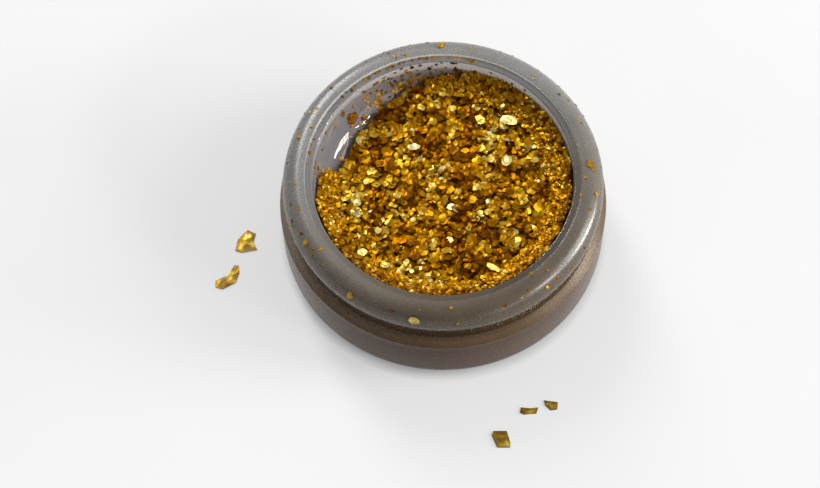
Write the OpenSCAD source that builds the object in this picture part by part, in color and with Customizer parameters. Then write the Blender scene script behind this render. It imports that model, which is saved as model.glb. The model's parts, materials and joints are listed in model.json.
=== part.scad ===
// Squat clear sample pot filled with gold flakes.
// The pot stands on its foot ring: the origin is the centre of the base, +Z up.

/* [Pot] */
// Outside diameter of the body wall
pot_d = 30; // [29:0.5:34]
// Height from the foot to the top of the rim
pot_h = 11.5; // [11:0.5:16]
// Thickness of the floor at the middle
floor_t = 4.2; // [2.4:0.1:4.8]
// Radius of the rounded corner between the wall and the base
base_corner = 2; // [1:0.1:2.6]
// Diameter of the hollow under the base
recess_d = 19; // [12:0.5:20]
// Depth of the hollow under the base
recess_depth = 0.4; // [0.2:0.1:0.6]

/* [Rim and lid groove] */
// Diameter of the straight wall inside the mouth
mouth_d = 23.7; // [20:0.1:24]
// Height of the straight wall inside the mouth
mouth_h = 0.6; // [0.5:0.1:1.2]
// Width of the ledge around the mouth that a lid seals on
seat_w = 0.65; // [0.4:0.05:0.8]
// Depth of the ledge below the top of the rim
seat_depth = 0.3; // [0.2:0.05:0.4]
// Height of the rounded rim from its top to the groove
rim_h = 3.4; // [2.4:0.1:3.6]
// How far the rim stays inside the body wall
rim_inset = 0.45; // [0.1:0.05:0.6]
// Height of the groove that a lid snaps into
groove_h = 1; // [0.8:0.1:2]
// Depth of the groove below the body wall
groove_depth = 0.8; // [0.6:0.05:1]
// Height of the sloping shoulder under the groove
shoulder_h = 0.5; // [0.3:0.1:0.8]

/* [Gold] */
// Depth of the gold's surface below the top of the rim
fill_depth = 2.4; // [2:0.1:4]
// Gap between the gold and the pot's inner wall
fill_gap = 0.2; // [0.15:0.05:0.3]
// Radius of the round hollow scooped into the gold beside the wall
dip_r = 20; // [12:1:24]
// How deep the dip goes below the gold's surface
dip_depth = 1.2; // [0.8:0.1:2]
// Direction of the dip around the pot
dip_turn = 140; // [0:5:355]
// Thickness of a gold flake
flake_t = 0.12; // [0.08:0.02:0.2]
// Number of small flakes scattered over the surface
scatter_count = 70; // [20:10:80]
// Number of specks clinging to the inner wall
wall_count = 16; // [8:1:24]
// Size of the smallest specks
speck_size = 0.3; // [0.2:0.05:0.4]

/* [Hidden] */

round_fn = 96;
eps = 0.02;
pot_r = pot_d / 2;
mouth_r = mouth_d / 2;
seat_r = mouth_r + seat_w;
rim_r = pot_r - rim_inset;
groove_r = pot_r - groove_depth;

// The rim's cross-section is half an ellipse, its crown a little outside the ledge.
crown_w = 0.5;
crown_lean = 15;
rim_half_h = rim_h / 2;
rim_crown_r = seat_r + crown_w;
rim_half_w = rim_r - rim_crown_r;
rim_mid_z = pot_h - rim_half_h;
groove_top_z = pot_h - rim_h;
groove_foot_z = groove_top_z - groove_h;
shoulder_z = groove_foot_z - shoulder_h;

// The hollow inside is half an ellipsoid, its wall turning straight at the mouth.
bowl_top_z = pot_h - seat_depth - mouth_h;
bowl_floor_z = recess_depth + floor_t;
bowl_depth = bowl_top_z - bowl_floor_z;
bowl_steps = 24;

gold_z = pot_h - fill_depth;
flake_gap = 0.03;
dip_out = mouth_r + 0.15;
dip_edge_r = sqrt(dip_r * dip_r - pow(dip_r - dip_depth, 2));

// Where the named flakes lie on the gold, as x and y
largest_at = [6.1, 6.8];
right_at = [5.8, 2.6];
left_at = [-2.7, 4];
upper_right_at = [3.4, 6.8];
far_at = [-0.1, 9.5];
far_middle_at = [0.8, 8];
far_left_at = [-2, 8.1];
outer_right_at = [9.7, 4];
near_right_outer_at = [8.4, 2.6];
centre_right_at = [3, -0.2];
centre_at = [-0.9, -0.1];
middle_left_at = [-4.2, -1];
left_edge_at = [-8.6, -1.2];
lower_left_at = [-5.8, -4.6];
near_left_pair_at = [-7.2, -6.8];
near_left_edge_at = [-5.2, -8];
near_centre_at = [0.3, -6.5];
long_at = [4.6, -8.3];
mouth_edge_at = [-0.9, -10.7];
named_places = [
    largest_at, right_at, left_at, upper_right_at, far_at, far_middle_at, far_left_at,
    outer_right_at, near_right_outer_at, centre_right_at, centre_at, middle_left_at,
    left_edge_at, lower_left_at, near_left_pair_at, near_left_edge_at, near_centre_at,
    long_at, mouth_edge_at
];

// Where the specks on the rim cling, as turn around the pot and lean over the rim
rim_speck_spots = [
    [50, 94], [106, 92], [110, 92], [152, 61], [158, 92], [164, 66], [200, 37], [214, 47],
    [273, 81], [275, 29], [308, 101], [310, 37], [347, 16], [350, 104], [352, 56], [358, 95]
];

// Radius of the bowl's wall at height z
function bowl_r(z) =
    z >= bowl_top_z ? mouth_r
    : mouth_r * sqrt(1 - pow((bowl_top_z - z) / bowl_depth, 2));

// Point of the rim: 0 degrees is outwards and 90 degrees up, and past that it is on the flat crown
function rim_point(lean) =
    lean > 90 ? [rim_crown_r - crown_w * (lean - 90) / crown_lean, pot_h]
    : [rim_crown_r + rim_half_w * cos(lean), rim_mid_z + rim_half_h * sin(lean)];

// Points of the bowl's outline from the mouth down to the middle of the floor
function bowl_points(inset = 0) = [
    for (i = [0 : bowl_steps])
        let (
            down = 90 * i / bowl_steps,
            r = mouth_r * cos(down),
            z = bowl_top_z - bowl_depth * sin(down)
        )
        [max(r - inset, 0), z + inset * sin(down)]
];

// Corner points of one flake: an uneven plate, longer along X
function flake_points(size, stretch, kind) = [
    for (i = [0 : 7])
        let (
            turn = 45 * i,
            r = size / 2 * (0.84 + 0.12 * sin(2 * turn + 47 * kind) + 0.1 * cos(3 * turn + 101 * kind))
        )
        [r * cos(turn) * stretch, r * sin(turn)]
];

// One flake lying flat on z = 0
module flake(size, stretch = 1.2, kind = 0) {
    linear_extrude(flake_t) polygon(flake_points(size, stretch, kind));
}

// A flake on the gold at a place: lifted so that its low edge only just clears the bed
module bed_flake(place, size, stretch = 1.2, spin = 0, lean = 0, kind = 0) {
    color("gold")
        translate([place[0], place[1], gold_z + flake_gap + size / 2 * stretch * sin(lean)])
            rotate([0, 0, spin])
                rotate([0, lean, 0])
                    flake(size, stretch, kind);
}

// A flake clinging to the rim: turn goes around the pot, lean goes over the rim
module rim_flake(turn, lean, size, stretch = 1.2, spin = 0, kind = 0) {
    spot = rim_point(lean);
    rotate([0, 0, turn])
        translate([spot[0], 0, spot[1]])
            rotate([0, 90 - min(lean, 90), 0])
                translate([0, 0, flake_gap])
                    rotate([0, 0, spin])
                        flake(size, stretch, kind);
}

// A flake clinging to the bowl's wall at height z
module wall_flake(turn, z, size, stretch = 1.2, spin = 0, kind = 0) {
    slope = atan((bowl_r(z + 0.1) - bowl_r(z - 0.1)) / 0.2);
    sag = size * size * stretch / (8 * mouth_r);
    rotate([0, 0, turn])
        translate([bowl_r(z) - flake_gap - sag - flake_t, 0, z])
            rotate([0, 90 + slope, 0])
                rotate([0, 0, spin])
                    flake(size, stretch, kind);
}

// Half of the pot's outer section, without the hollows
module pot_outline() {
    // Body with a rounded base corner
    square([pot_r - base_corner, shoulder_z]);
    translate([0, base_corner])
        square([pot_r, shoulder_z - base_corner]);
    intersection() {
        translate([pot_r - base_corner, base_corner])
            circle(base_corner, $fn = round_fn);
        translate([pot_r - base_corner, 0])
            square(base_corner);
    }
    // Sloping shoulder and groove wall
    polygon([
        [0, shoulder_z - eps],
        [pot_r, shoulder_z - eps],
        [pot_r, shoulder_z],
        [groove_r, groove_foot_z],
        [groove_r, rim_mid_z],
        [0, rim_mid_z]
    ]);
    // Rounded rim
    polygon(concat(
        [[0, groove_top_z]],
        [for (lean = [-90 : 7.5 : 90]) rim_point(lean)],
        [[0, pot_h]]
    ));
}

// Clear pot: bowl inside, ledge and straight wall at the mouth, hollow under the base
module pot_body() {
    color("lightsteelblue", 0.5)
        difference() {
            rotate_extrude($fn = round_fn) pot_outline();
            rotate_extrude($fn = round_fn)
                polygon(concat([[0, bowl_top_z + eps], [mouth_r, bowl_top_z + eps]], bowl_points()));
            translate([0, 0, bowl_top_z])
                cylinder(h = mouth_h + seat_depth + eps, r = mouth_r, $fn = round_fn);
            translate([0, 0, pot_h - seat_depth])
                cylinder(h = seat_depth + eps, r = seat_r, $fn = round_fn);
            translate([0, 0, -eps])
                cylinder(h = recess_depth + eps, d = recess_d, $fn = round_fn);
        }
}

// Gold in bulk: fills the bowl up to its surface, with a dip beside the wall
module gold_bed() {
    color("goldenrod")
        difference() {
            intersection() {
                rotate_extrude($fn = round_fn)
                    polygon(concat([[0, bowl_top_z]], bowl_points(fill_gap)));
                translate([0, 0, gold_z / 2])
                    cube([pot_d, pot_d, gold_z], center = true);
            }
            rotate([0, 0, dip_turn])
                translate([dip_out, 0, gold_z + dip_r - dip_depth])
                    sphere(dip_r, $fn = round_fn);
        }
}

// Small flakes in a sunflower spiral, left out near the named flakes and over the dip
module scattered_flakes() {
    spread_r = 10.6;
    golden_turn = 137.508;
    named_clear = 1.6;
    dip_middle = dip_out * [cos(dip_turn), sin(dip_turn)];
    for (i = [0 : scatter_count - 1]) {
        turn = golden_turn * i;
        spot = spread_r * sqrt((i + 0.5) / scatter_count) * [cos(turn), sin(turn)];
        gaps = [for (place = named_places) norm(place - spot)];
        if (min(gaps) > named_clear && norm(dip_middle - spot) > dip_edge_r)
            bed_flake(spot, 0.6 + 0.1 * (i % 3), 1.2, 53 * i, 4 * (i % 4), i);
    }
}

// Three large flakes that lie free on top
module largest_flake() { bed_flake(largest_at, 1.6, 1.25, 160, 6, 1); }
module right_flake() { bed_flake(right_at, 1.4, 1.1, 70, 8, 2); }
module left_flake() { bed_flake(left_at, 1.1, 1.4, 20, 7, 3); }

// Large flakes bedded in the gold, from the far side to the near side
module upper_right_flake() { bed_flake(upper_right_at, 1.2, 1.15, 150, 8, 4); }
module far_flake() { bed_flake(far_at, 0.8, 1.2, 40, 12, 5); }
module far_middle_flake() { bed_flake(far_middle_at, 1, 1.1, 120, 10, 6); }
module far_left_flake() { bed_flake(far_left_at, 0.8, 1.5, 110, 10, 7); }
module outer_right_flake() { bed_flake(outer_right_at, 0.8, 1.2, 100, 14, 8); }
module near_right_outer_flake() { bed_flake(near_right_outer_at, 0.9, 1.2, 15, 12, 9); }
module centre_right_flake() { bed_flake(centre_right_at, 0.9, 1.1, 75, 8, 10); }
module centre_flake() { bed_flake(centre_at, 0.9, 1.3, 135, 10, 11); }
module middle_left_flake() { bed_flake(middle_left_at, 0.9, 1.1, 30, 9, 12); }
module left_edge_flake() { bed_flake(left_edge_at, 0.8, 1.4, 60, 12, 13); }
module lower_left_flake() { bed_flake(lower_left_at, 0.9, 1.1, 10, 14, 14); }
module near_left_pair_flake() { bed_flake(near_left_pair_at, 1.1, 1.1, 125, 12, 15); }
module near_left_edge_flake() { bed_flake(near_left_edge_at, 0.9, 1.3, 165, 10, 16); }
module near_centre_flake() { bed_flake(near_centre_at, 0.9, 1.3, 20, 9, 17); }
module long_flake() { bed_flake(long_at, 0.9, 2, 145, 6, 18); }
module mouth_edge_flake() { bed_flake(mouth_edge_at, 0.7, 1.1, 45, 12, 19); }

// Flakes that cling to the rim
module rim_front_flake() { color("gold") rim_flake(-100, 34, 1, 1.4, 90, 20); }
module rim_front_left_flake() { color("gold") rim_flake(-125, 38, 0.8, 1.3, 60, 21); }
module rim_left_flake() { color("gold") rim_flake(-151, 52, 0.7, 1.2, 30, 22); }
module rim_back_flake() { color("gold") rim_flake(91, 73, 0.7, 1.6, 130, 23); }
module rim_right_flake() { color("gold") rim_flake(4, 79, 0.8, 1.2, 100, 24); }

// Tiny specks that cling to the rim
module rim_specks() {
    color("goldenrod")
        for (i = [0 : len(rim_speck_spots) - 1])
            rim_flake(
                rim_speck_spots[i][0],
                rim_speck_spots[i][1],
                size = speck_size + 0.05 * (i % 3),
                spin = 71 * i,
                kind = i
            );
}

// A clump of gold caught on the bowl's wall above the dip
module wall_clump() { color("darkgoldenrod") wall_flake(137, pot_h - 2.8, 0.9, 1.2, 20, 25); }

// Specks that cling to the far side of the bowl's wall, in two rows
module wall_specks() {
    first_turn = 62;
    last_turn = 162;
    upper_row_z = pot_h - 1.2;
    row_drop = 0.8;
    color("darkgoldenrod")
        for (i = [0 : wall_count - 1])
            wall_flake(
                first_turn + (last_turn - first_turn) * i / (wall_count - 1),
                upper_row_z - row_drop * (i % 2),
                size = speck_size + 0.05 * (i % 3),
                spin = 67 * i,
                kind = i
            );
}

pot_body();
gold_bed();
scattered_flakes();
largest_flake();
right_flake();
left_flake();
upper_right_flake();
far_flake();
far_middle_flake();
far_left_flake();
outer_right_flake();
near_right_outer_flake();
centre_right_flake();
centre_flake();
middle_left_flake();
left_edge_flake();
lower_left_flake();
near_left_pair_flake();
near_left_edge_flake();
near_centre_flake();
long_flake();
mouth_edge_flake();
rim_front_flake();
rim_front_left_flake();
rim_left_flake();
rim_back_flake();
rim_right_flake();
wall_clump();
wall_specks();
rim_specks();
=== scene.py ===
import json
import math
import random

import bpy
import numpy as np
from mathutils import Matrix, Vector, noise


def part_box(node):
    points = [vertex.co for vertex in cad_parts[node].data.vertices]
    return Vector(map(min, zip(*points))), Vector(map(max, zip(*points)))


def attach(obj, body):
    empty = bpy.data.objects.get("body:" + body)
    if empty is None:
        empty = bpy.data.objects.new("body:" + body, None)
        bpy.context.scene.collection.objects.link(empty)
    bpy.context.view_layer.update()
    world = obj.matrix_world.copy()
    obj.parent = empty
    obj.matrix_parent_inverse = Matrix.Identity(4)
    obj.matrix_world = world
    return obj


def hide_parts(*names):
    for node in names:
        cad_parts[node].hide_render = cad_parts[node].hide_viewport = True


# ---------------------------------------------------------------- the frame

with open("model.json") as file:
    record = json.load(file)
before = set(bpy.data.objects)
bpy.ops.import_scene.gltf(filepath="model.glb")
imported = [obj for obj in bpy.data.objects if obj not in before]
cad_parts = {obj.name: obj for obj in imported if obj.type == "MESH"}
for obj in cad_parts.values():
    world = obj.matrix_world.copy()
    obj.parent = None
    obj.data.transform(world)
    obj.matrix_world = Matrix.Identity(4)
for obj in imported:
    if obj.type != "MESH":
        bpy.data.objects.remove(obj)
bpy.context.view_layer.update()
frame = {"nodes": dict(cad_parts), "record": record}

MM = 0.001
UP = Vector((0, 0, 1))

_, pot_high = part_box("pot_body")
bed_low, bed_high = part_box("gold_bed")
mounts = {m["name"]: m for m in frame["record"]["mounts"]}

POT_R = pot_high.x
POT_H = pot_high.z
GOLD_Z = bed_high.z
BED_FLOOR_Z = bed_low.z
MOUTH_R = mounts["mouth"]["dims"]["r_mm"] * MM
GROOVE_R = mounts["lid_groove"]["dims"]["r_mm"] * MM

# The pot's section, as in the CAD model
RECESS_R = 9.5 * MM
RECESS_DEPTH = 0.4 * MM
RECESS_CORNER = 0.15 * MM
BASE_CORNER = 2.0 * MM
SHOULDER_Z = POT_H - 4.9 * MM
SHOULDER_CORNER = 0.12 * MM
GROOVE_FOOT_Z = POT_H - 4.4 * MM
GROOVE_CORNER = 0.15 * MM
RIM_HALF_H = 1.7 * MM
RIM_INSET = 0.45 * MM
SEAT_W = 0.65 * MM
SEAT_DEPTH = 0.3 * MM
CROWN_W = 0.5 * MM
MOUTH_H = 0.6 * MM
BOWL_FLOOR_Z = 4.6 * MM
CORNER_STEPS = 5
# How far the skin is pulled in, unevenly, and how wide its ripples are
POT_RIPPLE = 0.012 * MM
RIPPLE_WIDTH = 6 * MM

RIM_CROWN_R = MOUTH_R + SEAT_W + CROWN_W
RIM_HALF_W = POT_R - RIM_INSET - RIM_CROWN_R
RIM_MID_Z = POT_H - RIM_HALF_H
BOWL_TOP_Z = POT_H - SEAT_DEPTH - MOUTH_H
BOWL_DEPTH = BOWL_TOP_Z - BOWL_FLOOR_Z

# The wide hollow in the gold beside the wall, and a smaller one in it: turn, radius and depth
DIP_OUT = MOUTH_R + 0.15 * MM
DIP_TURN = math.radians(140)
DIPS = [(DIP_TURN, 20 * MM, 1.55 * MM), (math.radians(157), 9 * MM, 2.0 * MM)]

# The gold's surface: its broad heaps and its small pits, each with a width and a height
SURFACE_Z = GOLD_Z - 0.25 * MM
HEAP_W = 4.5 * MM
HEAP_H = 0.3 * MM
PIT_W = 1.3 * MM
PIT_H = 0.28 * MM

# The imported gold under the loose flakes
LUMP_SINK = 0.15 * MM
LUMP_GAP = 0.35 * MM
GRIT_W = 0.5 * MM
TURNS = 200

# The gold banked up against the wall. Its turns are degrees past the hollow's middle
BANK_W = 1.5 * MM
BANK_H = 1.45 * MM
BANK_UNEVEN = 0.5 * MM
BANK_GAP = 0.27 * MM
BANK_LIMIT_Z = POT_H - 0.8 * MM
BANK_START = 25
BANK_RISE = 44
BANK_END = 326
BANK_FALL = 45

FLAKE_T = 0.03 * MM
DUST_T = 0.02 * MM
TOP_FLAKES = 3000
SIDE_FLAKES = 2400
HEAP_FLAKES = 2900
DUST = 260

# The table top lies a hair under the foot ring, and it glows except beneath the pot
FLOOR_HALF = 1.5
FLOOR_DROP = 0.01 * MM
FLOOR_GLOW = 0.47
GLOW_STARTS = POT_R - 1.5 * MM
GLOW_FULL = POT_R + 0.5 * MM

LAMP_DISTANCE = 1.0
WORLD_FRONT = 0.26
WORLD_BACK = 0.66
# Lamp panels: azimuth from +X, elevation, width, height and roll in degrees, and radiance
LAMPS = {
    "right_panel": (0, 11, 25, 8, -33, 48),
    "right_near_panel": (-29, 26, 12, 6, 0, 48),
    "right_dot": (-19, 21, 3, 3, 0, 60),
    "right_window": (0, 33, 22, 24, 0, 10),
    "front_right_window": (-46, 14, 40, 14, 0, 2.9),
    "back_left_panel": (117, 40, 14, 34, 0, 15),
}

# ---------------------------------------------------------------- camera

CAMERA_DISTANCE = 200 * MM
CAMERA_ELEVATION = math.radians(62.3)
CAMERA_LENS = 97.5
# The pot stands right of and above the middle of the picture
CAMERA_TURN_LEFT = math.radians(0.85)
CAMERA_TURN_DOWN = math.radians(1.81)


def make_camera():
    """A level camera in front of the pot, looking down on its mouth."""
    data = bpy.data.cameras.new("camera")
    data.lens = CAMERA_LENS
    data.clip_start = 1 * MM
    data.clip_end = 10
    camera = bpy.data.objects.new("camera", data)
    bpy.context.scene.collection.objects.link(camera)
    back = Vector((0, -math.cos(CAMERA_ELEVATION), math.sin(CAMERA_ELEVATION)))
    camera.location = Vector((0, 0, POT_H)) + back * CAMERA_DISTANCE
    look = (-back).to_track_quat("-Z", "Y").to_matrix()
    turn = Matrix.Rotation(CAMERA_TURN_LEFT, 3, "Y") @ Matrix.Rotation(-CAMERA_TURN_DOWN, 3, "X")
    camera.rotation_euler = (look @ turn).to_euler()
    bpy.context.scene.camera = camera


# ---------------------------------------------------------------- mesh helpers


def new_piece(name, verts, faces, material, tones=None, smooth=True):
    """A mesh object from points and faces. tones is one number for each point."""
    mesh = bpy.data.meshes.new(name)
    mesh.from_pydata(verts, [], faces)
    mesh.validate()
    if tones is not None:
        tone = mesh.attributes.new("tone", "FLOAT", "POINT")
        tone.data.foreach_set("value", tones)
    if smooth:
        mesh.polygons.foreach_set("use_smooth", [True] * len(mesh.polygons))
    mesh.materials.append(material)
    piece = bpy.data.objects.new(name, mesh)
    bpy.context.scene.collection.objects.link(piece)
    return piece


def rounded(corners):
    """Points of an outline given as (r, z, radius of the corner)."""
    points = []
    last = len(corners) - 1
    for i, (r, z, radius) in enumerate(corners):
        here = Vector((r, z))
        if radius == 0 or i in (0, last):
            points.append(here)
            continue
        before = (Vector(corners[i - 1][:2]) - here).normalized()
        after = (Vector(corners[i + 1][:2]) - here).normalized()
        half = before.angle(after) / 2
        reach = radius / math.tan(half)
        middle = here + (before + after).normalized() * radius / math.sin(half)
        start = here + before * reach - middle
        end = here + after * reach - middle
        for k in range(CORNER_STEPS + 1):
            points.append(middle + start.lerp(end, k / CORNER_STEPS).normalized() * radius)
    return points


def lathe(name, outline, material, steps):
    """Turns an outline that starts and ends on the axis, and pulls the skin in a little, unevenly."""
    verts = [(0, 0, outline[0].y)]
    rows = len(outline) - 2
    for i in range(steps):
        turn = 2 * math.pi * i / steps
        for point in outline[1:-1]:
            spot = Vector((point.x * math.cos(turn), point.x * math.sin(turn), point.y))
            r = point.x - POT_RIPPLE * (0.5 + 0.5 * noise.noise(spot / RIPPLE_WIDTH))
            verts.append((r * math.cos(turn), r * math.sin(turn), point.y))
    verts.append((0, 0, outline[-1].y))
    faces = []
    for i in range(steps):
        a = 1 + i * rows
        b = 1 + (i + 1) % steps * rows
        faces.append((0, b, a))
        faces.extend((a + k, b + k, b + k + 1, a + k + 1) for k in range(rows - 1))
        faces.append((a + rows - 1, b + rows - 1, len(verts) - 1))
    return new_piece(name, verts, faces, material)


# ---------------------------------------------------------------- materials


def node_material(name):
    """A new node material: returns it, its nodes, its links and its Principled shader."""
    material = bpy.data.materials.new(name)
    material.use_nodes = True
    nodes = material.node_tree.nodes
    return material, nodes, material.node_tree.links, nodes["Principled BSDF"]


def add_place(nodes, links):
    """The point's place, the same as separate X, Y and Z, and its distance from the pot's axis."""
    place = nodes.new("ShaderNodeTexCoord")
    parts = nodes.new("ShaderNodeSeparateXYZ")
    flat = nodes.new("ShaderNodeCombineXYZ")
    length = nodes.new("ShaderNodeVectorMath")
    length.operation = "LENGTH"
    links.new(place.outputs["Object"], parts.inputs["Vector"])
    links.new(parts.outputs["X"], flat.inputs["X"])
    links.new(parts.outputs["Y"], flat.inputs["Y"])
    links.new(flat.outputs["Vector"], length.inputs[0])
    return place.outputs["Object"], parts, length.outputs["Value"]


def add_noise(nodes, links, scale, detail, roughness=0.5):
    """A noise in the pot's frame. scale is in ripples to a metre."""
    place = nodes.new("ShaderNodeTexCoord")
    texture = nodes.new("ShaderNodeTexNoise")
    texture.inputs["Scale"].default_value = scale
    texture.inputs["Detail"].default_value = detail
    texture.inputs["Roughness"].default_value = roughness
    links.new(place.outputs["Object"], texture.inputs["Vector"])
    return texture.outputs["Fac"]


def add_ramp(nodes, links, source, stops):
    """The colour of a ramp on source. stops are (place, colour)."""
    ramp = nodes.new("ShaderNodeValToRGB")
    elements = ramp.color_ramp.elements
    while len(elements) < len(stops):
        elements.new(0.5)
    for element, (place, colour) in zip(elements, stops):
        element.position = place
        element.color = (*colour, 1)
    links.new(source, ramp.inputs["Fac"])
    return ramp.outputs["Color"]


def add_range(nodes, links, source, low, high, start=0.0, end=1.0):
    """Maps source from start..end to low..high, and holds it there."""
    mapper = nodes.new("ShaderNodeMapRange")
    mapper.inputs["From Min"].default_value = start
    mapper.inputs["From Max"].default_value = end
    mapper.inputs["To Min"].default_value = low
    mapper.inputs["To Max"].default_value = high
    links.new(source, mapper.inputs["Value"])
    return mapper.outputs["Result"]


def add_math(nodes, links, operation, one, two):
    """Two sockets put through a math node."""
    node = nodes.new("ShaderNodeMath")
    node.operation = operation
    links.new(one, node.inputs[0])
    links.new(two, node.inputs[1])
    return node.outputs["Value"]


def add_multiply(nodes, links, one, two, factor=1.0):
    """Two colours multiplied. factor is how much of the second one counts."""
    mix = nodes.new("ShaderNodeMix")
    mix.data_type = "RGBA"
    mix.blend_type = "MULTIPLY"
    mix.inputs["Factor"].default_value = factor
    links.new(one, mix.inputs["A"])
    links.new(two, mix.inputs["B"])
    return mix.outputs["Result"]


def add_bump(nodes, links, source, height):
    """The normal of a bump of that height in metres."""
    bump = nodes.new("ShaderNodeBump")
    bump.inputs["Strength"].default_value = 1.0
    bump.inputs["Distance"].default_value = height
    links.new(source, bump.inputs["Height"])
    return bump.outputs["Normal"]


# The plastic's colour and the tint of its sheen, by height from 0 at the foot to 1 at the top of the rim.
# The colour is painted light and shade: painted shade and the painted brown of gold seen through the wall
# low down, a painted highlight band on the shoulder's ledge, painted shade in the groove, lighter up the
# rim
PLASTIC_PAINTED_SHADING = [
    (0.0, (0.14, 0.107, 0.09)),
    (0.55, (0.14, 0.10, 0.078)),
    (0.6, (0.48, 0.40, 0.32)),
    (0.67, (0.23, 0.155, 0.08)),
    (0.82, (0.54, 0.51, 0.44)),
    (1.0, (0.77, 0.765, 0.74)),
]
PLASTIC_SHEEN = [
    (0.54, (0.30, 0.19, 0.12)),
    (0.6, (0.8, 0.68, 0.56)),
    (0.67, (0.4, 0.26, 0.16)),
    (0.84, (1, 1, 1)),
]
INSIDE_COLOUR = (0.62, 0.605, 0.615, 1)
HAZE_STOPS = [(0.3, (0.86, 0.86, 0.87)), (0.7, (1, 1, 1))]
# Painted shade and the painted brown of gold seen through the plastic, strongest on the near right
# side. Its stops run from there to the far left
NEAR_SHADE_WAY = (-0.37, 0.93, 0)
NEAR_SHADE_STOPS = [(0.05, (0.47, 0.36, 0.25)), (0.35, (0.72, 0.645, 0.54)), (0.7, (1, 1, 1))]
# Heights, as shares of the pot's, between which the plastic turns from dull and dense to clear
DENSE_BELOW = 0.5
CLEAR_ABOVE = 0.64


def add_outside(nodes, links, radius, height):
    """1 on the rim, the outer wall and the underside, and 0 inside the mouth."""
    around = add_range(nodes, links, radius, 0, 1, MOUTH_R, MOUTH_R + SEAT_W)
    under = add_range(nodes, links, height, 1, 0, 0.08, 0.3)
    return add_math(nodes, links, "MAXIMUM", around, under)


def add_plastic_colour(nodes, links, place, height, outside):
    """The plastic's colour: painted light and shade by height outside, hazy, and painted brown shade on
    the near side.
    """
    mix = nodes.new("ShaderNodeMix")
    mix.data_type = "RGBA"
    mix.inputs["A"].default_value = INSIDE_COLOUR
    links.new(outside, mix.inputs["Factor"])
    links.new(add_ramp(nodes, links, height, PLASTIC_PAINTED_SHADING), mix.inputs["B"])
    haze = add_ramp(nodes, links, add_noise(nodes, links, 380, 4), HAZE_STOPS)
    hazed = add_multiply(nodes, links, mix.outputs["Result"], haze)
    across = nodes.new("ShaderNodeVectorMath")
    across.operation = "DOT_PRODUCT"
    across.inputs[1].default_value = NEAR_SHADE_WAY
    links.new(place, across.inputs[0])
    side = add_range(nodes, links, across.outputs["Value"], 0, 1, -POT_R, POT_R)
    return add_multiply(nodes, links, hazed, add_ramp(nodes, links, side, NEAR_SHADE_STOPS))


def clear_plastic():
    """Clear moulded plastic: hazy and worn outside, polished inside, and browner low down and on the near
    side from painted shade.
    """
    material, nodes, links, shader = node_material("clear_plastic")
    place, parts, radius = add_place(nodes, links)
    height = add_range(nodes, links, parts.outputs["Z"], 0, 1, 0, POT_H)
    outside = add_outside(nodes, links, radius, height)
    links.new(add_plastic_colour(nodes, links, place, height, outside), shader.inputs["Base Color"])
    scuffs = add_noise(nodes, links, 2600, 5, 0.6)
    worn = add_range(nodes, links, outside, 0.02, 0.27)
    spread = add_range(nodes, links, scuffs, 0.75, 1.25)
    links.new(add_math(nodes, links, "MULTIPLY", worn, spread), shader.inputs["Roughness"])
    relief = add_math(nodes, links, "MULTIPLY", scuffs, outside)
    links.new(add_bump(nodes, links, relief, 0.0015 * MM), shader.inputs["Normal"])
    shader.inputs["IOR"].default_value = 1.45
    links.new(add_ramp(nodes, links, height, PLASTIC_SHEEN), shader.inputs["Specular Tint"])
    clarity = add_range(nodes, links, height, 0.15, 0.8, DENSE_BELOW, CLEAR_ABOVE)
    links.new(clarity, shader.inputs["Transmission Weight"])
    polish = add_range(nodes, links, height, 0.12, 0.5, DENSE_BELOW, CLEAR_ABOVE)
    links.new(polish, shader.inputs["Specular IOR Level"])
    return material


# Gold's colour by its flake's tone, from 0 dark to 1 bright. On the top flakes the tone also carries
# painted shade, painted light and painted glints
BRIGHT_STOPS = [
    (0.0, (0.15, 0.042, 0.0)),
    (0.35, (0.40, 0.165, 0.001)),
    (0.65, (0.60, 0.33, 0.01)),
    (0.85, (0.80, 0.60, 0.11)),
    (1.0, (1.0, 0.92, 0.46)),
]
# The gold under the loose and banked flakes is painted dark, as painted shade in the gaps between flakes
BULK_SHADE_STOPS = [(0.0, (0.09, 0.03, 0.001)), (1.0, (0.36, 0.15, 0.004))]
DUST_STOPS = [(0.0, (0.10, 0.035, 0.004)), (0.25, (0.24, 0.10, 0.008)), (1.0, (0.58, 0.31, 0.03))]
SPILT_STOPS = [
    (0.0, (0.26, 0.20, 0.13)),
    (0.3, (0.42, 0.24, 0.02)),
    (0.55, (0.62, 0.44, 0.05)),
    (1.0, (0.86, 0.82, 0.36)),
]
GRIME_STOPS = [(0.35, (0.42, 0.30, 0.18)), (0.6, (0.74, 0.71, 0.66))]
GRIME_SHARE = 0.7


def gold(name, stops, rough_low, rough_high, crumple):
    """Gold whose colour follows each flake's tone. crumple is the height of its dents."""
    material, nodes, links, shader = node_material(name)
    tone = nodes.new("ShaderNodeAttribute")
    tone.attribute_name = "tone"
    colour = add_ramp(nodes, links, tone.outputs["Fac"], stops)
    grime = add_noise(nodes, links, 1500, 3)
    shade = add_ramp(nodes, links, grime, GRIME_STOPS)
    links.new(add_multiply(nodes, links, colour, shade, GRIME_SHARE), shader.inputs["Base Color"])
    rough = add_range(nodes, links, grime, rough_high, rough_low)
    links.new(rough, shader.inputs["Roughness"])
    dents = add_noise(nodes, links, 3000, 2)
    links.new(add_bump(nodes, links, dents, crumple), shader.inputs["Normal"])
    shader.inputs["Metallic"].default_value = 1.0
    return material


FLOOR_STOPS = [(0.3, (0.29, 0.29, 0.29)), (0.7, (0.31, 0.31, 0.31))]


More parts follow.
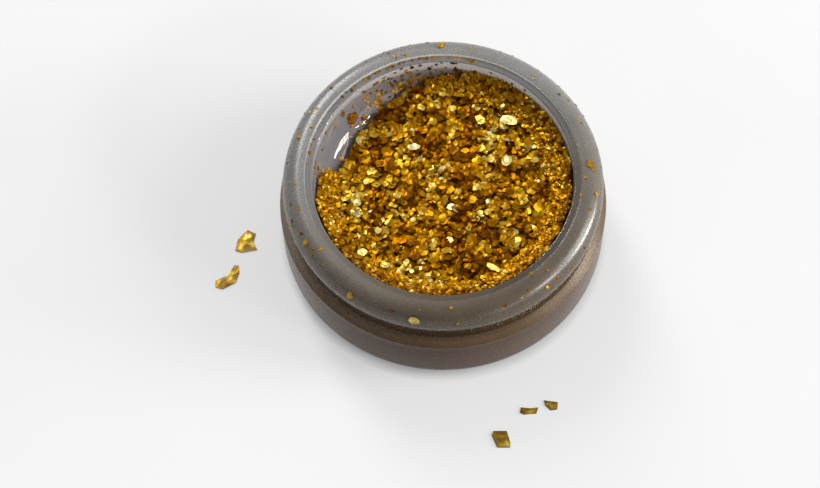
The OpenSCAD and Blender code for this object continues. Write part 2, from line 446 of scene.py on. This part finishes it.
def pale_floor():
    """Plain pale matt table top, lit a little from within so that shadows stay faint."""
    material, nodes, links, shader = node_material("pale_floor")
    tint = add_ramp(nodes, links, add_noise(nodes, links, 30, 2), FLOOR_STOPS)
    links.new(tint, shader.inputs["Base Color"])
    shader.inputs["Roughness"].default_value = 0.9
    shader.inputs["Specular IOR Level"].default_value = 0.1
    _, _, radius = add_place(nodes, links)
    glow = add_range(nodes, links, radius, 0, FLOOR_GLOW, GLOW_STARTS, GLOW_FULL)
    shader.inputs["Emission Color"].default_value = (1, 1, 1, 1)
    links.new(glow, shader.inputs["Emission Strength"])
    return material


plastic = clear_plastic()
flake_gold = gold("gold_flakes", BRIGHT_STOPS, 0.32, 0.55, 0.012 * MM)
bulk_gold = gold("gold_bulk", BULK_SHADE_STOPS, 0.45, 0.7, 0.03 * MM)
dust_gold = gold("gold_dust", DUST_STOPS, 0.5, 0.8, 0.01 * MM)
spilt_gold = gold("spilt_gold", SPILT_STOPS, 0.4, 0.6, 0.01 * MM)
floor_paint = pale_floor()

# ---------------------------------------------------------------- the pot


def rim_point(lean):
    """Point of the rim's ellipse as r, z: 0 is outwards and a quarter turn is up."""
    return RIM_CROWN_R + RIM_HALF_W * math.cos(lean), RIM_MID_Z + RIM_HALF_H * math.sin(lean)


def bowl_r(z):
    """Radius of the bowl's wall at height z."""
    if z >= BOWL_TOP_Z:
        return MOUTH_R
    drop = (BOWL_TOP_Z - z) / BOWL_DEPTH
    return MOUTH_R * math.sqrt(max(0.0, 1 - drop * drop))


def pot_outline():
    """The pot's closed section, from the axis under the base round to the axis inside."""
    under_rim = -math.acos((GROOVE_R - RIM_CROWN_R) / RIM_HALF_W)
    rim_steps = 26
    bowl_steps = 44
    corners = [
        (0, RECESS_DEPTH, 0),
        (RECESS_R, RECESS_DEPTH, RECESS_CORNER),
        (RECESS_R, 0, RECESS_CORNER),
        (POT_R, 0, BASE_CORNER),
        (POT_R, SHOULDER_Z, SHOULDER_CORNER),
        (GROOVE_R, GROOVE_FOOT_Z, GROOVE_CORNER),
        (GROOVE_R, rim_point(under_rim)[1], 0),
    ]
    for i in range(1, rim_steps + 1):
        lean = under_rim + (math.pi / 2 - under_rim) * i / rim_steps
        corners.append((*rim_point(lean), 0))
    corners += [
        (MOUTH_R + SEAT_W, POT_H, 0.1 * MM),
        (MOUTH_R + SEAT_W, POT_H - SEAT_DEPTH, 0.06 * MM),
        (MOUTH_R, POT_H - SEAT_DEPTH, 0.12 * MM),
    ]
    for i in range(bowl_steps + 1):
        down = math.pi / 2 * i / bowl_steps
        corners.append((MOUTH_R * math.cos(down), BOWL_TOP_Z - BOWL_DEPTH * math.sin(down), 0))
    corners[-1] = (0, BOWL_FLOOR_Z, 0)
    return rounded(corners)


def make_pot():
    """The clear pot, one turned skin with all its hollows."""
    pot = lathe("pot_shell", pot_outline(), plastic, 240)
    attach(pot, "pot")
    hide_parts("pot_body")


# ---------------------------------------------------------------- gold in bulk


def gold_height(x, y):
    """Height of the gold's surface: heaps and hollows, with the large hollow beside the wall."""
    heap = noise.noise(Vector((x, y, 0)) / HEAP_W) * HEAP_H
    pit = noise.noise(Vector((x, y, 5 * MM)) / PIT_W) * PIT_H
    z = SURFACE_Z + heap
    for turn, dip_r, depth in DIPS:
        away = Vector((x, y)) - DIP_OUT * Vector((math.cos(turn), math.sin(turn)))
        if away.length < dip_r:
            bottom = GOLD_Z + dip_r - depth - math.sqrt(dip_r**2 - away.length_squared)
            z = min(z, bottom + heap * 0.3)
    return z + pit


def grit(spot, height):
    """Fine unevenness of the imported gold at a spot, up to that height."""
    return noise.noise(spot / GRIT_W) * height


def flake_mesh(rng, out, middle, normal, size, stretch, thick, tone, corners=7):
    """Adds one bent flake, closed on both sides, to out, which is points, faces and tones."""
    verts, faces, tones = out
    side = normal.orthogonal().normalized()
    side.rotate(Matrix.Rotation(rng.uniform(0, 2 * math.pi), 3, normal))
    across = normal.cross(side)
    first = len(verts)
    cup = rng.uniform(-0.1, 0.14) * size
    ring = []
    for i in range(corners):
        turn = 2 * math.pi * (i + rng.uniform(-0.25, 0.25)) / corners
        r = size / 2 * rng.uniform(0.74, 1.06)
        bend = normal * rng.uniform(-0.05, 0.05) * size
        ring.append(middle + side * (r * stretch * math.cos(turn)) + across * (r * math.sin(turn)) + bend)
    low = normal * -thick
    verts.append(middle + normal * cup)
    verts.extend(ring)
    verts.append(middle + normal * cup + low)
    verts.extend(p + low for p in ring)
    under = first + corners + 1
    for i in range(corners):
        a = first + 1 + i
        b = first + 1 + (i + 1) % corners
        c = under + 1 + i
        d = under + 1 + (i + 1) % corners
        faces.append((first, a, b))
        faces.append((under, d, c))
        faces.append((a, c, d, b))
    tones.extend([tone] * (2 * corners + 2))


def tilted(rng, normal, spread):
    """normal, leaning a random way by about spread radians."""
    axis = normal.orthogonal().normalized()
    axis.rotate(Matrix.Rotation(rng.uniform(0, 2 * math.pi), 3, normal))
    lean = Vector(normal)
    lean.rotate(Matrix.Rotation(abs(rng.gauss(0, spread)), 3, axis))
    return lean


def bowl_normal(out, down):
    """Outward normal of the bowl's wall. out is the way out and down the angle below the mouth."""
    normal = Vector(out) * (math.cos(down) / MOUTH_R) - UP * (math.sin(down) / BOWL_DEPTH)
    return normal.normalized()


def make_bulk():
    """The gold under the loose flakes: a closed lump that fills the bowl."""
    rng = random.Random(11)
    half = 45
    side_grit = 0.08 * MM
    floor_z = BED_FLOOR_Z + LUMP_GAP
    verts = [(0, 0, gold_height(0, 0) - LUMP_SINK)]
    for i in range(TURNS):
        turn = 2 * math.pi * i / TURNS
        out = Vector((math.cos(turn), math.sin(turn)))
        edge_r = bowl_r(GOLD_Z) - LUMP_GAP
        for _ in range(6):
            edge_r = bowl_r(gold_height(*(out * edge_r))) - LUMP_GAP
        edge_z = gold_height(*(out * edge_r)) - LUMP_SINK
        for k in range(1, half + 1):
            spot = out * edge_r * (k / half)
            z = gold_height(*spot) - LUMP_SINK + grit(Vector((*spot, 0)), 0.14 * MM)
            verts.append((*spot, z))
        for k in range(1, half + 1):
            z = edge_z + (floor_z - edge_z) * math.sin(math.pi / 2 * k / (half + 1))
            spot = Vector((*(out * (bowl_r(z) - LUMP_GAP)), z))
            verts.append(tuple(spot + Vector((*out, 0)) * (grit(spot, side_grit) - side_grit)))
    verts.append((0, 0, floor_z))
    tones = [0.2, *(rng.random() * 0.5 for _ in verts[1:-1]), 0.2]
    rows = 2 * half
    faces = []
    for i in range(TURNS):
        a = 1 + i * rows
        b = 1 + (i + 1) % TURNS * rows
        faces.append((0, a, b))
        faces.extend((a + k, a + k + 1, b + k + 1, b + k) for k in range(rows - 1))
        faces.append((a + rows - 1, len(verts) - 1, b + rows - 1))
    bulk = new_piece("gold_lump", verts, faces, bulk_gold, tones, smooth=False)
    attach(bulk, "gold")
    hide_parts("gold_bed")


def make_top_flakes():
    """The flakes that show in the mouth: dark in the pits and bright on the heaps, which is painted shade
    and light, and a few pale ones that are painted glints.
    """
    rng = random.Random(23)
    out = [], [], []
    reach = bowl_r(GOLD_Z) - 0.3 * MM
    for _ in range(TOP_FLAKES):
        r = reach * math.sqrt(rng.random())
        turn = rng.uniform(0, 2 * math.pi)
        x, y = r * math.cos(turn), r * math.sin(turn)
        size = rng.uniform(0.4, 0.72) * MM if rng.random() < 0.8 else rng.uniform(0.72, 1.05) * MM
        lift = rng.uniform(-0.14, 0.16) * MM
        room = bowl_r(gold_height(x, y)) - 0.22 * MM - size * 0.6
        if r > room:
            x, y = x * room / r, y * room / r
        z = gold_height(x, y) + lift
        patch = noise.noise(Vector((x, y, 9 * MM)) / (1.7 * MM))
        # Random patches of tone, with painted shade on flakes that sit low and painted light on those
        # that stand up
        tone = 0.36 + 0.6 * patch + 0.6 * lift / MM + rng.gauss(0, 0.13)
        # A few pale flakes are painted glints
        if rng.random() < 0.03:
            tone = rng.uniform(0.85, 1.0)
        tone = min(1.0, max(0.0, tone))
        normal = tilted(rng, UP, 0.36)
        flake_mesh(rng, out, Vector((x, y, z)), normal, size, rng.uniform(1, 1.35), FLAKE_T, tone)
    flakes = new_piece("top_flakes", out[0], out[1], flake_gold, out[2], smooth=False)
    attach(flakes, "gold")
    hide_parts("scattered_flakes")


def make_side_flakes():
    """Flakes pressed against the bowl's wall, seen through the plastic."""
    rng = random.Random(37)
    out = [], [], []
    for _ in range(SIDE_FLAKES):
        turn = rng.uniform(0, 2 * math.pi)
        way = Vector((math.cos(turn), math.sin(turn), 0))
        down = math.asin(rng.random() ** 0.8)
        z = BOWL_TOP_Z - BOWL_DEPTH * math.sin(down)
        r = MOUTH_R * math.cos(down)
        size = rng.uniform(0.4, 0.85) * MM
        wall = bowl_normal(way, down)
        tone = min(1.0, max(0.0, rng.gauss(0.4, 0.2)))
        stretch = rng.uniform(1, 1.35)
        if z + size * 0.6 > gold_height(r * way.x, r * way.y):
            continue
        spot = way * r + UP * z - wall * 0.3 * MM
        flake_mesh(rng, out, spot, tilted(rng, wall, 0.13), size, stretch, FLAKE_T, tone, 6)
    flakes = new_piece("side_flakes", out[0], out[1], flake_gold, out[2], smooth=False)
    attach(flakes, "gold")


def bank_height(turn, way):
    """How high the gold is banked up against the wall at a turn: nothing at the hollow."""
    past = math.degrees(turn - DIP_TURN) % 360
    share = max(0.0, min(1.0, (past - BANK_START) / BANK_RISE, (BANK_END - past) / BANK_FALL))
    return share * share * (3 - 2 * share) * (BANK_H + BANK_UNEVEN * noise.noise(way * 6))


def bank_top(height, inward):
    """Height of the banked gold's slope. inward is 0 at the wall and 1 at the slope's foot."""
    return min(GOLD_Z + height * (1 - inward) ** 1.5, BANK_LIMIT_Z)


def make_bank():
    """The gold under the banked flakes: a closed ridge along the wall, buried at the hollow."""
    rng = random.Random(31)
    across = 12
    down = 5
    sink = 0.22 * MM
    verts = []
    for i in range(TURNS):
        turn = 2 * math.pi * i / TURNS
        way = Vector((math.cos(turn), math.sin(turn), 0))
        height = bank_height(turn, way)
        share = min(1.0, height / (0.4 * MM))
        ring = []
        for k in range(across + 1):
            inward = 1 - k / across
            spot = way * (bowl_r(GOLD_Z) - BANK_GAP - BANK_W * inward)
            ground = gold_height(spot.x, spot.y) - 0.5 * MM
            ridge_z = bank_top(height, inward) - sink + grit(spot, 0.1 * MM)
            z = ground + (ridge_z - ground) * share
            ring.append((bowl_r(z) - BANK_GAP - BANK_W * inward, z))
        top = ring[-1][1]
        foot = min(ring[0][1], top) - 0.6 * MM
        for k in range(1, down + 1):
            z = top + (foot - top) * k / down
            ring.append((bowl_r(z) - BANK_GAP - 0.05 * MM, z))
        ring.append((ring[0][0], foot))
        verts.extend(tuple(way * r + UP * z) for r, z in ring)
    tones = [rng.random() * 0.5 for _ in verts]
    rows = across + down + 2
    faces = []
    for i in range(TURNS):
        a = i * rows
        b = (i + 1) % TURNS * rows
        faces.extend((a + k, a + (k + 1) % rows, b + (k + 1) % rows, b + k) for k in range(rows))
    ridge = new_piece("gold_bank", verts, faces, bulk_gold, tones, smooth=False)
    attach(ridge, "gold")


def make_heap_flakes():
    """Flakes banked up against the wall all round, except at the hollow."""
    rng = random.Random(29)
    out = [], [], []
    for _ in range(HEAP_FLAKES):
        turn = rng.uniform(0, 2 * math.pi)
        way = Vector((math.cos(turn), math.sin(turn), 0))
        height = bank_height(turn, way)
        inward = rng.random()
        size = rng.uniform(0.3, 0.42 + 0.2 * inward) * MM
        tone = min(1.0, max(0.0, rng.gauss(0.42, 0.18)))
        if height < 0.1 * MM:
            continue
        z = bank_top(height, inward) - 0.05 * MM
        r = bowl_r(z) - BANK_GAP - BANK_W * inward
        slope = UP - way * height / BANK_W * (1 - inward)
        normal = tilted(rng, slope.normalized(), 0.25)
        flake_mesh(rng, out, way * r + UP * z, normal, size, 1.2, FLAKE_T, tone, 6)
    flakes = new_piece("heap_flakes", out[0], out[1], flake_gold, out[2], smooth=False)
    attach(flakes, "gold")


def on_bowl(way, z, lift):
    """The spot at height z that is lifted off the bowl's wall, and the wall's inward normal."""
    down = math.asin(max(0.0, (BOWL_TOP_Z - z) / BOWL_DEPTH))
    normal = -bowl_normal(way, down)
    return way * bowl_r(z) + UP * z + normal * lift, normal


def make_dust():
    """Brown gold dust: three specks in five on the inner wall, one on the ledge, one on the rim."""
    rng = random.Random(43)
    out = [], [], []
    ledge_z = POT_H - SEAT_DEPTH
    for i in range(DUST):
        turn = math.radians(rng.gauss(170, 4) if i % 8 == 5 else min(rng.gauss(108, 22), 142))
        way = Vector((math.cos(turn), math.sin(turn), 0))
        size = rng.uniform(0.16, 0.36) * MM
        kind = i % 5
        clumped = i % 15 == 1
        if kind < 3:
            edge = way * (MOUTH_R - 0.8 * MM)
            z = gold_height(edge.x, edge.y) + min(2.4, rng.expovariate(1.1)) * MM
            size *= 1.5
            spot, normal = on_bowl(way, min(z, ledge_z - 0.15 * MM), 0.05 * MM)
            if clumped:
                # One of a clump beside the hollow's edge
                turn = math.radians(rng.gauss(139, 1.6))
                way = Vector((math.cos(turn), math.sin(turn), 0))
                z = BOWL_TOP_Z - rng.uniform(1.6, 2.3) * MM
                size = rng.uniform(0.35, 0.6) * MM
                spot, normal = on_bowl(way, z, 0.08 * MM)
        elif kind == 3:
            normal = UP
            r = MOUTH_R + SEAT_W * rng.uniform(0.5, 0.8)
            spot = way * r + UP * (ledge_z + 0.03 * MM)
        else:
            turn = rng.uniform(0, 2 * math.pi)
            way = Vector((math.cos(turn), math.sin(turn), 0))
            lean = rng.uniform(0.3, 1.5)
            r, z = rim_point(lean)
            normal = way * math.cos(lean) + UP * math.sin(lean)
            spot = way * r + UP * z + normal * 0.03 * MM
        tone = rng.random() * (0.25 if clumped else 1)
        flake_mesh(rng, out, spot, normal.normalized(), size, 1.3, DUST_T, tone, 5)
    dust = new_piece("gold_dust", out[0], out[1], dust_gold, out[2], smooth=False)
    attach(dust, "pot")


# ---------------------------------------------------------------- single flakes


def islands(node):
    """The separate solids of a CAD node, as arrays of their corner points."""
    step = 0.001 * MM
    mesh = frame["nodes"][node].data
    points = np.empty(len(mesh.vertices) * 3)
    mesh.vertices.foreach_get("co", points)
    points = points.reshape(-1, 3)
    keys = [tuple(k) for k in np.round(points / step).astype(int)]
    parent = {key: key for key in keys}

    def top(key):
        while parent[key] != key:
            key = parent[key]
        return key

    for face in mesh.polygons:
        corners = [keys[i] for i in face.vertices]
        for other in corners[1:]:
            parent[top(other)] = top(corners[0])
    groups = {}
    for key in parent:
        groups.setdefault(top(key), []).append(key)
    found = [np.array(sorted(group)) * step for group in groups.values()]
    return sorted(found, key=lambda g: tuple(g.mean(0)))


def plate_axes(points):
    """Middle, axes (long, across, thin) and sizes of a flat solid."""
    middle = points.mean(0)
    _, _, axes = np.linalg.svd(points - middle, full_matrices=False)
    along = (points - middle) @ axes.T
    middle = middle + ((along.max(0) + along.min(0)) / 2) @ axes
    return Vector(middle), [Vector(a) for a in axes], along.max(0) - along.min(0)


def leaf_mesh(rng, out, points, tone):
    """Adds a hammered leaf in the place of a CAD flake and as large: uneven outline, folds and dents."""
    verts, faces, tones = out
    corners = 11
    shares = (0.0, 0.4, 0.75, 1.0)
    middle, (side, across, thin), sizes = plate_axes(points)
    if thin.z < -0.01 or (abs(thin.z) <= 0.01 and thin.dot(Vector((middle.x, middle.y, 0))) < 0):
        thin = -thin
    half_thick = sizes[2] * 0.28
    outline = []
    for i in range(corners):
        turn = 2 * math.pi * (i + rng.uniform(-0.22, 0.22)) / corners
        r = rng.uniform(0.82, 1.0) if rng.random() < 0.8 else rng.uniform(0.62, 0.8)
        outline.append((r * math.cos(turn), r * math.sin(turn)))
    layers = []
    for face_up in (1, -1):
        rows = []
        for share in shares:
            row = []
            for u, v in outline if share else [(0, 0)]:
                reach = share * (1 + (0 if share in (0.0, 1.0) else rng.uniform(-0.12, 0.12)))
                spot = side * (u * reach * sizes[0] / 2) + across * (v * reach * sizes[1] / 2)
                dent = noise.noise((middle + spot) / (0.35 * MM)) * sizes[2] * 0.7
                rise = dent + face_up * half_thick * (1 - 0.6 * share)
                row.append(middle + spot + thin * rise)
            rows.append(row)
        layers.append(rows)
    for rows, flip in zip(layers, (False, True)):
        start = len(verts)
        for row in rows:
            verts.extend(row)
        for i in range(corners):
            j = (i + 1) % corners
            ring = start + 1
            face = (start, ring + i, ring + j)
            faces.append(face[::-1] if flip else face)
            for k in range(2):
                low, high = ring + k * corners, ring + (k + 1) * corners
                face = (low + i, high + i, high + j, low + j)
                faces.append(face[::-1] if flip else face)
    total = 1 + 3 * corners
    upper = len(verts) - 2 * total + 1 + 2 * corners
    lower = upper + total
    for i in range(corners):
        j = (i + 1) % corners
        faces.append((upper + i, lower + i, lower + j, upper + j))
    tones.extend([tone] * (2 * total))


def make_leaves(node, body, material, tone, seed):
    """The visible flakes of one CAD node, each in the place of its solid."""
    rng = random.Random(seed)
    out = [], [], []
    for points in islands(node):
        leaf_mesh(rng, out, points, min(1.0, max(0.0, tone + rng.uniform(-0.07, 0.07))))
    leaves = new_piece(node + "_leaf", out[0], out[1], material, out[2], smooth=False)
    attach(leaves, body)
    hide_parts(node)


# The tone of each single flake: in the gold, free on top of it, and on the rim
BED_FLAKES = {
    "upper_right_flake": 0.9, "far_flake": 0.8, "far_middle_flake": 0.85, "far_left_flake": 0.75,
    "outer_right_flake": 0.8, "near_right_outer_flake": 0.8, "centre_right_flake": 0.8,
    "centre_flake": 0.88, "middle_left_flake": 0.8, "left_edge_flake": 0.75, "lower_left_flake": 0.85,
    "near_left_pair_flake": 0.85, "near_left_edge_flake": 0.88, "near_centre_flake": 0.75,
    "long_flake": 0.9, "mouth_edge_flake": 0.85,
}
FREE_FLAKES = {"largest_flake": 1.0, "right_flake": 1.0, "left_flake": 0.95}
RIM_FLAKES = {
    "rim_front_flake": 0.9, "rim_front_left_flake": 0.75, "rim_left_flake": 0.7,
    "rim_back_flake": 0.7, "rim_right_flake": 0.6,
}


def make_single_flakes():
    """The flakes that can be told apart, and the specks on the pot."""
    for seed, (node, tone) in enumerate(BED_FLAKES.items()):
        make_leaves(node, "gold", flake_gold, tone, 100 + seed)
    for seed, (node, tone) in enumerate(FREE_FLAKES.items()):
        make_leaves(node, node, flake_gold, tone, 200 + seed)
    for seed, (node, tone) in enumerate(RIM_FLAKES.items()):
        make_leaves(node, "pot", flake_gold, tone, 300 + seed)
    make_leaves("rim_specks", "pot", flake_gold, 0.55, 400)
    make_leaves("wall_specks", "pot", dust_gold, 0.4, 401)
    make_leaves("wall_clump", "pot", dust_gold, 0.0, 402)


# Flakes spilt on the table: where each lies, and its outline around that place, in millimetres
SPILT_FLAKES = [
    ((-18.6, -1.1), [
        (0.1, 1.1), (0.9, 0.7), (0.7, -0.2), (1.1, -1), (-0.3, -1.3), (-1, -1.1), (-0.8, 0.1),
    ]),
    ((-20.3, -4.9), [
        (0.7, 1.2), (1.1, 1.2), (1.2, 0.4), (0.9, -0.6), (-0.3, -1.3), (-1, -1.1),
        (-1, -0.4), (0, 0.1), (0.4, 0.7),
    ]),
    ((9.8, -17.8), [(-0.6, 0.5), (0.7, 0.3), (0.6, -0.4), (0, -0.5), (-0.5, 0)]),
    ((7.8, -18.3), [(-0.7, 0.3), (0.2, 0.2), (0.9, 0.3), (0.7, -0.3), (-0.5, -0.4), (-0.8, -0.2)]),
    ((5.3, -21.1), [(-0.7, 0.8), (0.5, 0.8), (0.8, -0.3), (0.8, -0.8), (-0.4, -0.8), (-0.9, 0.4)]),
]


def make_spilt_flakes():
    """Five flakes that lie loose on the table. They aren't part of the pot."""
    for number, ((x, y), outline) in enumerate(SPILT_FLAKES):
        edge = []
        for (u, v), (after_u, after_v) in zip(outline, outline[1:] + outline[:1]):
            edge += [(u, v), ((u + after_u) / 2, (v + after_v) / 2)]
        count = len(edge)
        verts, tones, faces = [], [], []
        for face_up in (1, 0):
            for share in (0.0, 0.35, 0.6, 0.85, 1.0):
                for u, v in edge if share else [(0, 0)]:
                    spot = Vector((x + u * share, y + v * share, 0))
                    dent = noise.noise(spot / 0.7) * 0.12 * (1 - share)
                    rise = 0.16 - 0.08 * share + dent if face_up else 0.02
                    verts.append((spot.x * MM, spot.y * MM, rise * MM))
                    pale = noise.noise(spot / 0.55 + UP * number)
                    tones.append(min(1.0, max(0.0, 0.5 + 0.9 * pale - 0.4 * share**4)))
        total = 1 + 4 * count
        for start, flip in ((0, True), (total, False)):
            for i in range(count):
                j = (i + 1) % count
                rows = [(start, start + 1 + i, start + 1 + j)]
                for k in range(3):
                    low, high = start + 1 + k * count, start + 1 + (k + 1) * count
                    rows.append((low + i, high + i, high + j, low + j))
                faces += [row[::-1] if flip else row for row in rows]
        rim = 1 + 3 * count
        for i in range(count):
            j = (i + 1) % count
            faces.append((rim + i, rim + j, total + rim + j, total + rim + i))
        flake = new_piece(f"spilt_flake_{number}", verts, faces, spilt_gold, tones, smooth=False)


# ---------------------------------------------------------------- floor and light


def make_floor():
    """A wide pale table top under the pot."""
    signs = [(-1, -1), (1, -1), (1, 1), (-1, 1)]
    verts = [(x * FLOOR_HALF, y * FLOOR_HALF, -FLOOR_DROP) for x, y in signs]
    floor = new_piece("floor", verts, [(0, 1, 2, 3)], floor_paint)


def direction(azimuth, elevation):
    """Direction towards an azimuth from +X and an elevation, both in degrees."""
    a, e = math.radians(azimuth), math.radians(elevation)
    return Vector((math.cos(e) * math.cos(a), math.cos(e) * math.sin(a), math.sin(e)))


def softbox(name, azimuth, elevation, width, height, roll, radiance):
    """A lamp panel that faces the pot. Its sizes and its roll are degrees."""
    data = bpy.data.lights.new(name, "AREA")
    data.shape = "RECTANGLE"
    data.size = 2 * LAMP_DISTANCE * math.tan(math.radians(width / 2))
    data.size_y = 2 * LAMP_DISTANCE * math.tan(math.radians(height / 2))
    data.energy = radiance * math.pi * data.size * data.size_y
    light = bpy.data.objects.new(name, data)
    bpy.context.scene.collection.objects.link(light)
    light.location = direction(azimuth, elevation) * LAMP_DISTANCE + UP * POT_H
    face = (-direction(azimuth, elevation)).to_track_quat("-Z", "Y").to_matrix()
    light.rotation_euler = (face @ Matrix.Rotation(math.radians(roll), 3, "Z")).to_euler()


def make_light():
    """Pale surroundings, darker towards the viewer, with soft lamp panels right, left and behind."""
    world = bpy.data.worlds.new("studio")
    bpy.context.scene.world = world
    world.use_nodes = True
    nodes, links = world.node_tree.nodes, world.node_tree.links
    place = nodes.new("ShaderNodeTexCoord")
    parts = nodes.new("ShaderNodeSeparateXYZ")
    links.new(place.outputs["Generated"], parts.inputs["Vector"])
    strength = add_range(nodes, links, parts.outputs["Y"], WORLD_FRONT, WORLD_BACK, -0.7, 0.7)
    background = nodes["Background"]
    background.inputs["Color"].default_value = (1, 1, 1, 1)
    links.new(strength, background.inputs["Strength"])
    for name, settings in LAMPS.items():
        softbox(name, *settings)


make_camera()
make_floor()
make_light()
make_pot()
make_bulk()
make_top_flakes()
make_side_flakes()
make_bank()
make_heap_flakes()
make_dust()
make_single_flakes()
make_spilt_flakes()

scene = bpy.context.scene
scene.view_settings.view_transform = "Standard"
